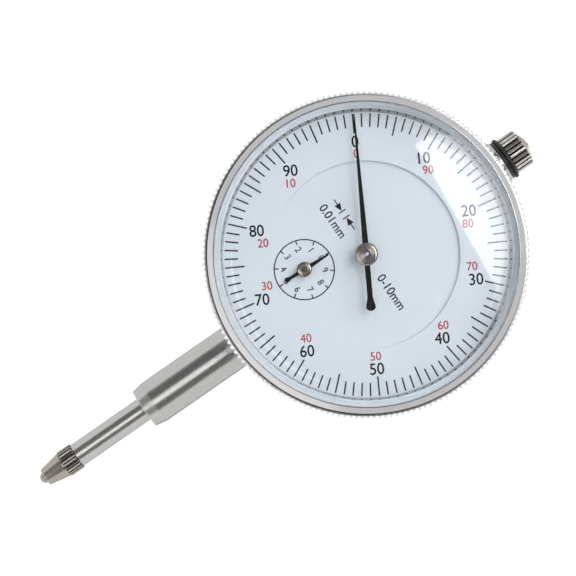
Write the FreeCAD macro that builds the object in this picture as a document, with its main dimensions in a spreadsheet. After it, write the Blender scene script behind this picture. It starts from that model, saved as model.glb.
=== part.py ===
import FreeCAD, Part
import Sketcher
import math
import os

# A dial indicator with 10 mm of travel and 0.01 mm divisions, in millimetres.
#
# Row frame: +Z runs up the measuring spindle, the dial faces -Y and +X is to the right seen
# from the front.  The origin is on the spindle's axis, half way up the clamping stem.
#
# Two local frames are used.  "Line" pieces keep the row's directions, with their origin at the
# dial's centre.  "Front" pieces are drawn as seen from the front: x right, y up, z towards the
# viewer, with the same origin.

TRANSFER_TEETH = 100    # teeth of both large wheels
CENTRE_TEETH = 10       # teeth of the pinion that carries the main hand
RACK_PINION_TEETH = 16  # teeth of the pinion that runs on the spindle's rack
PRESSURE_ANGLE = math.radians(20)

# Driving sizes: alias, value.
SIZES = (
    # frame, rack and gearing
    ("dial_height", 36.75), ("travel", 10.3), ("running_gap", 0.05), ("rack_pitch", 0.625),
    ("backlash", 0.03), ("transfer_x", -3.2), ("counter_angle", -111.25),
    # case, with its neck for the bezel
    ("case_r", 27.0), ("case_bore_r", 24.2), ("case_back", -6.5), ("case_edge", 0.6),
    ("neck_r", 26.0), ("neck_base", 4.2), ("wall_back", 6.4), ("wall_front", 7.7),
    ("groove_r", 25.5), ("groove_low", 5.3), ("groove_high", 6.1), ("seat_flat", 26.6),
    ("seat_r", 4.3), ("spigot_r", 3.2), ("boss_ring", 22.9), ("boss_r", 1.9), ("boss_deep", 6.0),
    ("tap_deep", 5.0),
    # back cover and lug
    ("cover_r", 26.8), ("cover_back", -7.8), ("cover_edge", 0.7), ("lug_thick", 5.0),
    ("lug_r", 6.0), ("lug_hole_r", 3.25), ("lug_centre", -15.4),
    # stem and bushes on the spindle's line
    ("stem_r", 4.0), ("stem_bore_r", 2.5), ("stem_top", -23.4), ("stem_shoulder", -26.6),
    ("relief_r", 3.8), ("relief_end", -28.2), ("stem_taper", -45.1), ("stem_end", -47.2),
    ("stem_end_r", 3.6), ("bush_r", 3.0), ("bush_top", -41.2), ("bush_end", -47.0),
    ("collar_r", 3.97), ("collar_base", 23.4), ("collar_top", 29.4), ("collar_edge", 0.2),
    # spindle and what it carries
    ("spindle_r", 2.15), ("spindle_end", -61.7), ("spindle_top", 29.45), ("spindle_neck_r", 1.6),
    ("neck_top", 33.4), ("point_tap_r", 1.25), ("point_tap_top", -56.0), ("flat_low", -2.4),
    ("flat_high", 12.6), ("pin_height", 5.0), ("pin_r", 0.8), ("pin_start", 0.3),
    ("pin_end", 11.3), ("sleeve_r", 1.25), ("sleeve_start", 4.3), ("sleeve_end", 5.9),
    ("knurl_r", 2.45), ("knurl_low", -64.4), ("knurl_deep", 0.17), ("taper_top_r", 2.28),
    ("taper_low_r", 1.55), ("taper_low", -68.4), ("ball_r", 0.95), ("shank_top", -57.0),
    ("washer_top", 30.7), ("washer_r", 3.95), ("washer_low_r", 3.7), ("washer_step", 30.05),
    ("washer_edge", 0.2), ("cap_r", 3.45), ("cap_edge", 34.05), ("cap_apex", 35.2),
    ("flute_r", 0.34), ("flute_ring", 3.6),
    # movement plate, bridge and pillars
    ("plate_back", 2.5), ("plate_thick", 0.9), ("plate_left", -15.0), ("plate_right", 14.5),
    ("plate_low", -16.0), ("plate_high", 18.0), ("plate_corner", 3.0), ("pillar_r", 1.5),
    ("screw_r", 0.6), ("screw_head_r", 1.3), ("screw_head", 0.8), ("screw_deep", 4.7),
    ("slot_wide", 0.3), ("slot_deep", 0.35), ("bridge_back", -3.3), ("bridge_thick", 0.8),
    ("bridge_tip", -1.0), ("bridge_far", -11.4), ("bridge_low", 2.6), ("bridge_high", 18.3),
    ("bridge_corner", 1.2), ("bridge_pillar_r", 1.4), ("bridge_pillar_x", -9.2),
    ("bridge_pillar_low", 5.0), ("bridge_pillar_high", 15.9), ("bridge_screw_r", 0.5),
    ("bridge_screw_deep", 6.7), ("cover_screw_r", 0.7), ("cover_head_r", 1.5),
    ("cover_screw_deep", 5.6),
    # guide of the spindle's pin
    ("guide_x", 4.5), ("guide_thick", 1.2), ("guide_back", -2.6), ("guide_flange", 8.6),
    ("guide_flange_thick", 0.8), ("guide_long", 17.6), ("guide_hole_x", 7.3),
    ("guide_hole_y", 6.0), ("guide_screw_deep", 1.7), ("guide_slot", 1.3),
    ("guide_rise", 5.125), ("guide_half", 5.225),
    # return spring
    ("spring_x", 10.4), ("post_y", -11.5), ("post_r", 0.7), ("post_neck_r", 0.5),
    ("post_end", -1.5), ("coil_r", 1.3), ("wire_r", 0.2), ("hook_r", 1.05),
    # arbors
    ("pivot_r", 0.35), ("transfer_r", 0.8), ("centre_r", 0.6), ("counter_r", 0.5),
    ("end_shake", 0.1), ("wheel_back", 4.4), ("wheel_thick", 0.4), ("window_r", 2.0),
    ("window_ring", 5.6), ("rack_pinion_half", 1.3), ("centre_pinion_low", 3.9),
    ("centre_pinion_high", 5.3), ("collet_r", 1.6), ("collet_low", 3.8),
    ("counter_collet_high", 5.3), ("bush_flange_r", 1.3), ("pivot_end", 7.2),
    # hairspring
    ("hair_r", 1.1), ("hair_pitch", 0.5), ("hair_thick", 0.08), ("hair_low", 3.7),
    ("hair_high", 0.35), ("hair_collet_r", 1.0), ("stud_r", 0.45), ("stud_high", 0.8),
    # dials
    ("inner_dial_r", 17.6), ("inner_dial_top", 8.1), ("inner_dial_hole_r", 1.35),
    ("dial_ring_r", 26.15), ("dial_ring_bore_r", 16.3), ("dial_ring_top", 8.75),
    # hands
    ("centre_end", 11.25), ("hand_back", 10.75), ("hand_thick", 0.15), ("hand_hub_low", 9.9),
    ("hand_hub_r", 1.1), ("hand_cap_r", 1.85), ("hand_cap_top", 11.5), ("hand_disc_r", 1.7),
    ("hand_tip", 24.4), ("hand_tip_half", 0.12), ("hand_root_half", 0.53), ("hand_waist", 1.4),
    ("tail_half", 0.47), ("tail_neck", -7.4), ("tail_wide", -9.2), ("tail_wide_half", 0.83),
    ("tail_end", -9.8), ("hand_angle", 60.3), ("small_back", 9.0), ("small_thick", 0.12),
    ("small_end", 9.45), ("small_hub_low", 8.45), ("small_hub_r", 0.8), ("small_cap_r", 1.15),
    ("small_cap_top", 9.55), ("small_tip", 4.95), ("small_tip_half", 0.07),
    ("small_root_half", 0.3), ("small_tail_half", 0.22), ("small_tail_neck", -2.9),
    ("small_tail_wide", -3.6), ("small_tail_wide_half", 0.42), ("small_tail_end", -3.9),
    ("small_angle", -2.9),
    # bezel and crystal
    ("bezel_low", 4.4), ("bezel_r", 28.4), ("bezel_edge", 0.5), ("bezel_high", 8.9),
    ("knurl_groove", 0.42), ("rim_r", 27.35), ("rim_edge", 12.0), ("rim_top", 12.7),
    ("crystal_seat_r", 26.25), ("ledge_low", 7.9), ("ledge_high", 8.3), ("ledge_r", 25.2),
    ("wire_groove_r", 26.5), ("wire_groove_low", 5.2), ("wire_groove_high", 6.2),
    ("snap_wire_r", 0.35), ("snap_ring_r", 25.95), ("crystal_r", 26.2), ("crystal_low", 8.8),
    ("crystal_wall_r", 25.0), ("crystal_side", 12.9), ("crystal_shoulder", 14.0),
    ("crystal_shoulder_r", 25.0), ("crystal_top", 14.9), ("crystal_inside_side", 12.3),
    ("crystal_inside_r", 24.2), ("crystal_inside_shoulder", 13.0), ("crystal_inside_top", 13.9),
    ("crystal_round", 1.3), ("crystal_inside_round", 0.9), ("crystal_flat_r", 1.0),
)
BEZEL_GROOVES = 174
POINT_GROOVES = 24
CAP_FLUTES = 24
COVER_SCREWS = 4
HAIRSPRING_HALF_TURNS = 16
# Places of the movement's three screws and pillars, seen from the front.
SCREW_PLACES = ((-13.0, 0.1), (12.2, 13.0), (7.5, -14.5))

doc = FreeCAD.newDocument("DialIndicator")
sheet = doc.addObject("Spreadsheet::Sheet", "Sizes")
nodes = {}


# ---- the sheet ----------------------------------------------------------------------------

def write_cell(alias, number):
    """Add one named number at the end of the sheet."""
    row = write_cell.row
    sheet.set("A%d" % row, alias)
    sheet.set("B%d" % row, str(number))
    sheet.setAlias("B%d" % row, alias)
    write_cell.row += 1


def fill_sheet():
    """Write the driving sizes, then those that follow from the gearing."""
    write_cell.row = 1
    for alias, number in SIZES:
        write_cell(alias, number)
    doc.recompute()
    distance = gear_module() * (TRANSFER_TEETH + CENTRE_TEETH) / 2
    angle = math.radians(value("counter_angle"))
    rack_line = value("transfer_x") + gear_module() * RACK_PINION_TEETH / 2
    outer = rack_line - 1.5 * gear_module()
    root = rack_line + 1.25 * gear_module()
    slope = math.tan(PRESSURE_ANGLE)
    write_cell("transfer_y", round(math.sqrt(distance ** 2 - value("transfer_x") ** 2), 4))
    write_cell("counter_x", round(distance * math.cos(angle), 4))
    write_cell("counter_y", round(distance * math.sin(angle), 4))
    write_cell("rack_tip", round(rack_line - gear_module(), 4))
    write_cell("rack_outer", round(outer, 4))
    write_cell("rack_root", round(root, 4))
    write_cell("gap_outer", round(value("rack_pitch") / 4 + (rack_line - outer) * slope, 4))
    write_cell("gap_root", round(value("rack_pitch") / 4 - (root - rack_line) * slope, 4))
    write_cell("boss_xy", round(value("boss_ring") / math.sqrt(2), 4))
    write_cell("dome_r", dome_radius("crystal_shoulder_r", "crystal_top - crystal_shoulder"))
    write_cell("dome_inside_r", dome_radius(
        "crystal_inside_r", "crystal_inside_top - crystal_inside_shoulder"))
    for number, (x, y) in enumerate(SCREW_PLACES):
        write_cell("screw_x_" + "abc"[number], x)
        write_cell("screw_y_" + "abc"[number], y)
    doc.recompute()


def value(terms):
    """Work out a sum such as 'plate_back + plate_thick' from the sheet's cells."""
    total = 0.0
    sign = 1
    for word in terms.split():
        if word in ("+", "-"):
            sign = 1 if word == "+" else -1
        else:
            total += sign * (float(word) if word[0].isdigit() else sheet.get(word))
            sign = 1
    return total


def dome_radius(edge, rise):
    """Radius of a dome that leaves the crystal's small middle flat without a corner."""
    half = value(edge + " - crystal_flat_r")
    return round((half ** 2 + value(rise) ** 2) / 2 / value(rise), 4)


def expression(terms):
    """Write the same sum as an expression on the sheet."""
    return " ".join("Sizes." + word if word[0].isalpha() else word for word in terms.split())


def gear_module():
    """Module of every tooth in the movement, from the rack's pitch."""
    return value("rack_pitch") / math.pi


# ---- frames -------------------------------------------------------------------------------

def line_frame(terms="0"):
    """Frame on the spindle's line, raised from the dial's centre."""
    return FreeCAD.Placement(FreeCAD.Vector(0, 0, value("dial_height") + value(terms)),
                             FreeCAD.Rotation())


def front_frame(x="0", y="0", z="0", turn=0):
    """Frame of a piece drawn as seen from the front, turned anticlockwise by some degrees."""
    face = FreeCAD.Placement(FreeCAD.Vector(0, 0, value("dial_height")),
                             FreeCAD.Rotation(FreeCAD.Vector(1, 0, 0), 90))
    own = FreeCAD.Placement(FreeCAD.Vector(value(x), value(y), value(z)),
                            FreeCAD.Rotation(FreeCAD.Vector(0, 0, 1), turn))
    return face.multiply(own)


def side_frame(z):
    """Frame of a piece turned about X, its own Z pointing to +X."""
    return FreeCAD.Placement(FreeCAD.Vector(0, 0, value("dial_height") + value(z)),
                             FreeCAD.Rotation(FreeCAD.Vector(0, 1, 0), 90))


# ---- sketches and features ----------------------------------------------------------------

def new_body(label, placement):
    """Start a piece as a body of its own."""
    body = doc.addObject("PartDesign::Body", label)
    body.Label = label
    body.Placement = placement
    nodes[label] = body
    return body


def new_sketch(body, name, role, level):
    """Attach an empty sketch to one of the body's origin planes, raised along its normal."""
    sketch = body.newObject("Sketcher::SketchObject", name)
    planes = [item for item in body.Origin.OriginFeatures if item.Role == role]
    sketch.AttachmentSupport = [(planes[0], "")]
    sketch.MapMode = "FlatFace"
    if level:
        sketch.setExpression(".AttachmentOffset.Base.z", expression(level))
    return sketch


def pin_point(sketch, edge, end, x, y):
    """Tie one point of a sketch to the sheet by its distances from the origin."""
    for kind, terms, axis in (("DistanceX", x, -2), ("DistanceY", y, -1)):
        if abs(value(terms)) < 1e-9:
            sketch.addConstraint(Sketcher.Constraint("PointOnObject", edge, end, axis))
            continue
        index = sketch.addConstraint(
            Sketcher.Constraint(kind, -1, 1, edge, end, value(terms)))
        sketch.setExpression("Constraints[%d]" % index, expression(terms))


def arc_between(start, end, radius):
    """Arc of less than half a turn from start to end: anticlockwise if radius is positive."""
    chord = end - start
    middle = (start + end) * 0.5
    height = math.sqrt(max(radius ** 2 - (chord.Length / 2) ** 2, 0))
    side = FreeCAD.Vector(-chord.y, chord.x, 0).normalize()
    centre = middle + side * math.copysign(height, radius)
    first, last = (start, end) if radius > 0 else (end, start)
    angles = [math.atan2(point.y - centre.y, point.x - centre.x) for point in (first, last)]
    circle = Part.Circle(centre, FreeCAD.Vector(0, 0, 1), abs(radius))
    return Part.ArcOfCircle(circle, angles[0], angles[1])


def outline(body, name, points, role="XZ_Plane", level=""):
    """Closed outline through points (x, y); (x, y, radius) bends the edge that leaves it."""
    sketch = new_sketch(body, name, role, level)
    places = [FreeCAD.Vector(value(point[0]), value(point[1]), 0) for point in points]
    starts = []
    for index, point in enumerate(points):
        here = places[index]
        there = places[(index + 1) % len(points)]
        radius = value(point[2]) if len(point) > 2 else 0
        edge = arc_between(here, there, radius) if radius else Part.LineSegment(here, there)
        sketch.addGeometry(edge, False)
        starts.append(2 if radius < 0 else 1)
    for index, point in enumerate(points):
        following = (index + 1) % len(points)
        sketch.addConstraint(Sketcher.Constraint(
            "Coincident", index, 3 - starts[index], following, starts[following]))
        pin_point(sketch, index, starts[index], point[0], point[1])
        if len(point) > 2:
            size = sketch.addConstraint(
                Sketcher.Constraint("Radius", index, abs(value(point[2]))))
            sketch.setExpression("Constraints[%d]" % size, expression(point[2].lstrip("- ")))
    return sketch


def circles(body, name, places, role="XY_Plane", level=""):
    """Sketch of circles given as (x, y, radius)."""
    sketch = new_sketch(body, name, role, level)
    for index, (x, y, radius) in enumerate(places):
        centre = FreeCAD.Vector(value(x), value(y), 0)
        sketch.addGeometry(Part.Circle(centre, FreeCAD.Vector(0, 0, 1), value(radius)), False)
        pin_point(sketch, index, 3, x, y)
        size = sketch.addConstraint(Sketcher.Constraint("Radius", index, value(radius)))
        sketch.setExpression("Constraints[%d]" % size, expression(radius))
    return sketch


def revolve(body, sketch, name="turned", angle=360):
    """Turn an outline about the body's Z axis."""
    feature = body.newObject("PartDesign::Revolution", name)
    feature.Profile = sketch
    feature.ReferenceAxis = (sketch, ["V_Axis"])
    feature.Angle = angle
    doc.recompute()
    return feature


def pad(body, sketch, name, length, both_sides=False):
    """Raise a sketch by a length bound to the sheet."""
    feature = body.newObject("PartDesign::Pad", name)
    feature.Profile = sketch
    feature.setExpression("Length", expression(length))
    feature.Midplane = both_sides
    doc.recompute()
    return feature


def pocket(body, sketch, name, length="", flipped=False):
    """Cut a sketch out of the body, right through both ways if no length is given."""
    before = body.Shape.Volume
    feature = body.newObject("PartDesign::Pocket", name)
    feature.Profile = sketch
    if length:
        feature.setExpression("Length", expression(length))
        feature.Reversed = flipped
    else:
        feature.Type = "ThroughAll"
        feature.Midplane = True
    doc.recompute()
    if body.Shape.Volume > before - 1e-6:
        raise ValueError("%s of %s cuts nothing" % (name, body.Label))
    return feature


def repeat_round(body, feature, sketch, name, count):
    """Repeat a feature evenly about the axis through the sketch's origin."""
    pattern = body.newObject("PartDesign::PolarPattern", name)
    pattern.Originals = [feature]
    pattern.Axis = (sketch, ["N_Axis"])
    pattern.Angle = 360
    pattern.Occurrences = count
    body.Tip = pattern
    doc.recompute()
    return pattern


def round_edges(body, name, radius, chosen):
    """Fillet the edges of the body's last feature that the test picks."""
    base = body.Tip
    edges = ["Edge%d" % (index + 1) for index, edge in enumerate(base.Shape.Edges)
             if chosen(edge)]
    feature = body.newObject("PartDesign::Fillet", name)
    feature.Base = (base, edges)
    feature.setExpression("Radius", expression(radius))
    body.Tip = feature
    doc.recompute()
    return feature


def is_corner(edge):
    """True for a straight edge that runs along the piece's own Z."""
    if len(edge.Vertexes) < 2:
        return False
    ends = [vertex.Point for vertex in edge.Vertexes]
    return abs(ends[0].x - ends[1].x) + abs(ends[0].y - ends[1].y) < 1e-6


def turned(label, points, placement):
    """A piece that is simply turned from one outline of (radius, height) points."""
    body = new_body(label, placement)
    revolve(body, outline(body, label + "_outline", points))
    return body


# ---- primitives ---------------------------------------------------------------------------

def primitive(kind, name, placement, sizes):
    """A Part primitive whose properties are bound to the sheet."""
    item = doc.addObject("Part::" + kind, name)
    for key, terms in sizes.items():
        item.setExpression(key, expression(terms))
    item.Placement = placement
    return item


def cut(name, base, tool):
    """Take one object away from another."""
    item = doc.addObject("Part::Cut", name)
    item.Base = base
    item.Tool = tool
    return item


def fuse(name, base, tool):
    """Join two objects."""
    item = doc.addObject("Part::Fuse", name)
    item.Base = base
    item.Tool = tool
    return item


def group(label, pieces):
    """Several separate solids under one name."""
    item = doc.addObject("Part::Compound", label)
    item.Label = label
    item.Links = pieces
    nodes[label] = item
    return item


def screw(name, x, y, seat, shank_r, head_r, deep):
    """Cheese-head screw entering the case from behind, its head against the level of seat."""
    shank = primitive("Cylinder", name + "_shank", front_frame(x, y, seat),
                      {"Radius": shank_r, "Height": deep})
    head = primitive("Cylinder", name + "_head", front_frame(x, y, seat + " - screw_head"),
                     {"Radius": head_r, "Height": "screw_head"})
    place = front_frame(x, y, seat + " - screw_head")
    corner = FreeCAD.Vector(-value(head_r), -value("slot_wide") / 2, 0)
    slot = primitive("Box", name + "_slot", place.multiply(FreeCAD.Placement(
        corner, FreeCAD.Rotation())),
        {"Length": head_r + " + " + head_r, "Width": "slot_wide", "Height": "slot_deep"})
    return cut(name, fuse(name + "_blank", shank, head), slot)


def pillar(name, x, y, low, tall, outside, bore):
    """Plain distance pillar with a hole for its screw."""
    post = primitive("Cylinder", name + "_post", front_frame(x, y, low),
                     {"Radius": outside, "Height": tall})
    hole = primitive("Cylinder", name + "_hole", front_frame(x, y, low),
                     {"Radius": bore, "Height": tall})
    return cut(name, post, hole)


# ---- gear teeth ---------------------------------------------------------------------------

def involute(angle):
    return math.tan(angle) - angle


def gear_outline(teeth, shift, first_tooth, flank_steps):
    """Closed wire of involute teeth, the first one centred on the given angle."""
    module = gear_module()
    pitch_r = module * teeth / 2
    base_r = pitch_r * math.cos(PRESSURE_ANGLE)
    tip_r = pitch_r + module * (1 + shift) - (0.05 if shift else 0)
    root_r = pitch_r - module * (1.25 - shift)
    start_r = max(base_r, root_r)
    half = math.pi / 2 / teeth + 2 * shift * math.tan(PRESSURE_ANGLE) / teeth
    half += involute(PRESSURE_ANGLE) - value("backlash") / 2 / pitch_r
    flank = [] if root_r >= base_r else [(root_r, half)]
    for step in range(flank_steps + 1):
        radius = start_r + (tip_r - start_r) * step / flank_steps
        roll = math.acos(min(base_r / radius, 1))
        flank.append((radius, half - involute(roll)))
    points = []
    for tooth in range(teeth):
        centre = first_tooth + 2 * math.pi * tooth / teeth
        for radius, angle in flank:
            points.append((radius, centre - angle))
        for radius, angle in reversed(flank):
            points.append((radius, centre + angle))
    corners = [FreeCAD.Vector(radius * math.cos(angle), radius * math.sin(angle), 0)
               for radius, angle in points]
    return Part.makePolygon(corners + corners[:1])


def meshing_angle(driver_tooth, driver_teeth, driven_teeth, direction):
    """Angle of a tooth on the driven gear that fits the driver, along the line of centres."""
    driver_pitch = 2 * math.pi / driver_teeth
    offset = ((direction - driver_tooth) / driver_pitch) % 1.0
    return direction + math.pi + (offset - 0.5) * 2 * math.pi / driven_teeth


def gear_solid(wire, low, high):
    """Extrude a tooth outline between two heights."""
    return Part.Face(wire).extrude(FreeCAD.Vector(0, 0, high - low)).translated(
        FreeCAD.Vector(0, 0, low))


def stack(steps):
    """Coaxial bars, one for each (radius, low, high) step."""
    return [Part.makeCylinder(radius, high - low, FreeCAD.Vector(0, 0, low))
            for radius, low, high in steps]


def shaped(label, shape, placement):
    """A piece whose shape is built directly from curves and solids."""
    item = doc.addObject("Part::Feature", label)
    item.Label = label
    item.Shape = shape
    item.Placement = placement
    nodes[label] = item
    return item


# ---- case ---------------------------------------------------------------------------------

def make_case():
    body = new_body("case_body", front_frame())
    revolve(body, outline(body, "case_outline", (
        ("bush_flange_r", "wall_back"), ("case_bore_r", "wall_back"),
        ("case_bore_r", "case_back"), ("case_r - case_edge", "case_back"),
        ("case_r", "case_back + case_edge"), ("case_r", "neck_base"), ("neck_r", "neck_base"),
        ("neck_r", "groove_low"), ("groove_r", "groove_low"), ("groove_r", "groove_high"),
        ("neck_r", "groove_high"), ("neck_r", "wall_front"), ("bush_flange_r", "wall_front"))))
    boss = circles(body, "boss_circle", (("boss_xy", "boss_xy", "boss_r"),), level="case_back")
    post = pad(body, boss, "boss", "boss_deep")
    repeat_round(body, post, boss, "bosses", COVER_SCREWS)
    tap = circles(body, "tap_circle", (("boss_xy", "boss_xy", "cover_screw_r"),),
                  level="case_back")
    hole = pocket(body, tap, "tap", "tap_deep", flipped=True)
    repeat_round(body, hole, tap, "taps", COVER_SCREWS)
    pocket(body, circles(body, "spigot_circle", (("0", "0", "spigot_r"),), "XZ_Plane"),
           "spigot_holes")
    for name, level, flipped in (("upper_seat", "- seat_flat", False),
                                 ("lower_seat", "seat_flat", True)):
        seat = circles(body, name + "_circle", (("0", "0", "seat_r"),), "XZ_Plane", level)
        pocket(body, seat, name, "case_edge", flipped=flipped)
    pocket(body, circles(body, "bush_circles", (
        ("transfer_x", "transfer_y", "bush_flange_r"),
        ("counter_x", "counter_y", "bush_flange_r"))), "bush_holes", "wall_front + 1", True)
    pocket(body, circles(body, "screw_circles", screw_circles("screw_r")),
           "screw_holes", "plate_back + screw_deep", True)


def screw_circles(radius):
    """The three screws of the movement, as circles of one radius."""
    return tuple(("screw_x_" + end, "screw_y_" + end, radius) for end in "abc")


def make_back_cover():
    body = new_body("back_cover", front_frame())
    revolve(body, outline(body, "cover_outline", (
        ("0", "case_back"), ("cover_r", "case_back"), ("cover_r", "cover_back + cover_edge"),
        ("cover_r - cover_edge", "cover_back"), ("0", "cover_back"))))
    lug = outline(body, "lug_outline", (
        ("- lug_r", "case_back - 0.5"), ("- lug_r", "lug_centre", "lug_r"),
        ("0", "lug_centre - lug_r", "lug_r"), ("lug_r", "lug_centre"),
        ("lug_r", "case_back - 0.5")), "YZ_Plane")
    pad(body, lug, "lug", "lug_thick", both_sides=True)
    pocket(body, circles(body, "lug_circle", (("0", "lug_centre", "lug_hole_r"),), "YZ_Plane"),
           "lug_hole")
    circle = circles(body, "cover_tap_circle", (("boss_xy", "boss_xy", "cover_screw_r"),))
    repeat_round(body, pocket(body, circle, "cover_tap"), circle, "cover_taps", COVER_SCREWS)


def make_cover_screws():
    places = (("boss_xy", "boss_xy"), ("- boss_xy", "boss_xy"),
              ("- boss_xy", "- boss_xy"), ("boss_xy", "- boss_xy"))
    group("back_cover_screws", [
        screw("cover_screw_%d" % number, x, y, "cover_back", "cover_screw_r", "cover_head_r",
              "cover_screw_deep") for number, (x, y) in enumerate(places)])


def make_stem():
    turned("stem", (
        ("stem_bore_r", "stem_top"), ("spigot_r", "stem_top"), ("spigot_r", "stem_shoulder"),
        ("relief_r", "stem_shoulder"), ("relief_r", "relief_end"), ("stem_r", "relief_end"),
        ("stem_r", "stem_taper"), ("stem_end_r", "stem_end"),
        ("bush_r", "stem_end"), ("bush_r", "bush_top"), ("stem_bore_r", "bush_top")),
        line_frame())
    turned("lower_bush", (
        ("spindle_r + running_gap", "bush_end"), ("bush_r", "bush_end"), ("bush_r", "bush_top"),
        ("spindle_r + running_gap", "bush_top")), line_frame())
    turned("upper_bush", (
        ("spindle_r + running_gap", "collar_base"), ("spigot_r", "collar_base"),
        ("spigot_r", "seat_flat"), ("collar_r", "seat_flat"),
        ("collar_r", "collar_top - collar_edge"), ("collar_r - collar_edge", "collar_top"),
        ("spindle_r + running_gap", "collar_top")), line_frame())


def make_movement_plate():
    """Brass plate between the spindle and the wheels, with the arbors' rear pivots."""
    body = new_body("movement_plate", front_frame(z="plate_back"))
    pad(body, outline(body, "plate_outline", (
        ("plate_left", "plate_low"), ("plate_right", "plate_low"),
        ("plate_right", "plate_high"), ("plate_left", "plate_high")), "XY_Plane"),
        "plate", "plate_thick")
    round_edges(body, "plate_corners", "plate_corner", is_corner)
    pocket(body, circles(body, "plate_circles", screw_circles("screw_r") + (
        ("0", "0", "pivot_r + running_gap"),
        ("counter_x", "counter_y", "pivot_r + running_gap"),
        ("transfer_x", "transfer_y", "transfer_r + 0.4"),
        ("bridge_pillar_x", "bridge_pillar_low", "bridge_screw_r"),
        ("bridge_pillar_x", "bridge_pillar_high", "bridge_screw_r"),
        ("guide_hole_x", guide_hole("-"), "bridge_screw_r"),
        ("guide_hole_x", guide_hole("+"), "bridge_screw_r"),
        ("spring_x", "post_y", "post_r"))), "plate_holes")


def guide_middle():
    """Height of the guide slot's middle, half the travel above the pin at rest."""
    return "pin_height + guide_rise"


def guide_hole(sign):
    """Height of one of the guide's two screws."""
    return guide_middle() + " " + sign + " guide_hole_y"


def make_pillars_and_screws():
    plate_front = "plate_back + plate_thick"
    places = [place[:2] for place in screw_circles("screw_r")]
    group("plate_pillars", [
        pillar("plate_pillar_%d" % number, x, y, plate_front, "wall_back - plate_back - plate_thick",
               "pillar_r", "screw_r") for number, (x, y) in enumerate(places)])
    group("plate_screws", [
        screw("plate_screw_%d" % number, x, y, "plate_back", "screw_r", "screw_head_r",
              "screw_deep") for number, (x, y) in enumerate(places)])


def make_rear_bridge():
    """Small bridge behind the spindle with the transfer arbor's rear pivot."""
    body = new_body("rear_bridge", front_frame(z="bridge_back"))
    pad(body, outline(body, "bridge_outline", (
        ("bridge_tip", "transfer_y - 1.7"), ("bridge_tip", "transfer_y + 1.7"),
        ("bridge_far + 3.4", "bridge_high"), ("bridge_far", "bridge_high"),
        ("bridge_far", "bridge_low"), ("bridge_far + 3.4", "bridge_low")), "XY_Plane"),
        "bridge", "bridge_thick")
    round_edges(body, "bridge_corners", "bridge_corner", is_corner)
    pocket(body, circles(body, "bridge_circles", (
        ("transfer_x", "transfer_y", "pivot_r + running_gap"),
        ("bridge_pillar_x", "bridge_pillar_low", "bridge_screw_r"),
        ("bridge_pillar_x", "bridge_pillar_high", "bridge_screw_r"))), "bridge_holes")
    heights = ("bridge_pillar_low", "bridge_pillar_high")
    group("bridge_pillars", [
        pillar("bridge_pillar_%d" % number, "bridge_pillar_x", y, "bridge_back + bridge_thick",
               "plate_back - bridge_back - bridge_thick", "bridge_pillar_r", "bridge_screw_r")
        for number, y in enumerate(heights)])
    group("bridge_screws", [
        screw("bridge_screw_%d" % number, "bridge_pillar_x", y, "bridge_back",
              "bridge_screw_r", "screw_head_r", "bridge_screw_deep")
        for number, y in enumerate(heights)])


def make_guide():
    """Slotted bracket that stops the spindle turning, and its two screws."""
    body = new_body("guide_plate", front_frame(y=guide_middle()))
    pad(body, outline(body, "guide_outline", (
        ("guide_x", "guide_back"), ("guide_x + guide_thick", "guide_back"),
        ("guide_x + guide_thick", "plate_back - guide_flange_thick"),
        ("guide_flange", "plate_back - guide_flange_thick"), ("guide_flange", "plate_back"),
        ("guide_x", "plate_back"))), "bracket", "guide_long", both_sides=True)
    pocket(body, outline(body, "slot_outline", (
        ("- guide_half", "- guide_slot"), ("guide_half", "- guide_slot", "guide_slot"),
        ("guide_half + guide_slot", "0", "guide_slot"), ("guide_half", "guide_slot"),
        ("- guide_half", "guide_slot", "guide_slot"),
        ("- guide_half - guide_slot", "0", "guide_slot")), "YZ_Plane"), "slot")
    pocket(body, circles(body, "guide_circles", (
        ("guide_hole_x", "- guide_hole_y", "bridge_screw_r"),
        ("guide_hole_x", "guide_hole_y", "bridge_screw_r"))), "guide_holes")
    group("guide_screws", [
        screw("guide_screw_%d" % number, "guide_hole_x", guide_hole(sign),
              "plate_back - guide_flange_thick", "bridge_screw_r", "screw_head_r",
              "guide_screw_deep") for number, sign in enumerate("-+")])


def make_spring_post():
    turned("spring_post", (
        ("0", "post_end"), ("post_r", "post_end"), ("post_r", "- 0.4"), ("post_neck_r", "- 0.3"),
        ("post_neck_r", "0.3"), ("post_r", "0.4"), ("post_r", "plate_back + plate_thick"),
        ("0", "plate_back + plate_thick")), front_frame("spring_x", "post_y"))


def make_return_spring():
    """Extension spring as a closed tube, with a hook round the post and one round the pin."""
    hook = value("hook_r")
    low = value("post_y") + hook
    high = value("pin_height") - hook
    x = value("spring_x")
    up = FreeCAD.Vector(0, 0, 1)
    wire = 2 * value("wire_r")
    tube = Part.makeCylinder(value("coil_r"), high - low, FreeCAD.Vector(x, 0, low), up).cut(
        Part.makeCylinder(value("coil_r") - wire, high - low - 2 * wire,
                          FreeCAD.Vector(x, 0, low + wire), up))
    lower = Part.makeTorus(hook, value("wire_r"), FreeCAD.Vector(x, 0, value("post_y")),
                           FreeCAD.Vector(0, 1, 0))
    upper = Part.makeTorus(hook, value("wire_r"), FreeCAD.Vector(x, 0, value("pin_height")),
                           FreeCAD.Vector(1, 0, 0))
    shaped("return_spring", tube.fuse([lower, upper]), line_frame())


def make_bezel_spring():
    """Split wire ring that holds the bezel on the neck."""
    body = new_body("bezel_spring", front_frame())
    wire = circles(body, "wire_circle",
                   (("snap_ring_r", "groove_low + snap_wire_r + 0.05", "snap_wire_r"),),
                   "XZ_Plane")
    revolve(body, wire, angle=350)


def bush(label, x, y, bore):
    """Front bush of one arbor, pressed into the case's wall."""
    turned(label, (
        (bore, "wall_back - end_shake"), ("bush_flange_r", "wall_back - end_shake"),
        ("bush_flange_r", "wall_front"), (bore, "wall_front")), front_frame(x, y))


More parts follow.
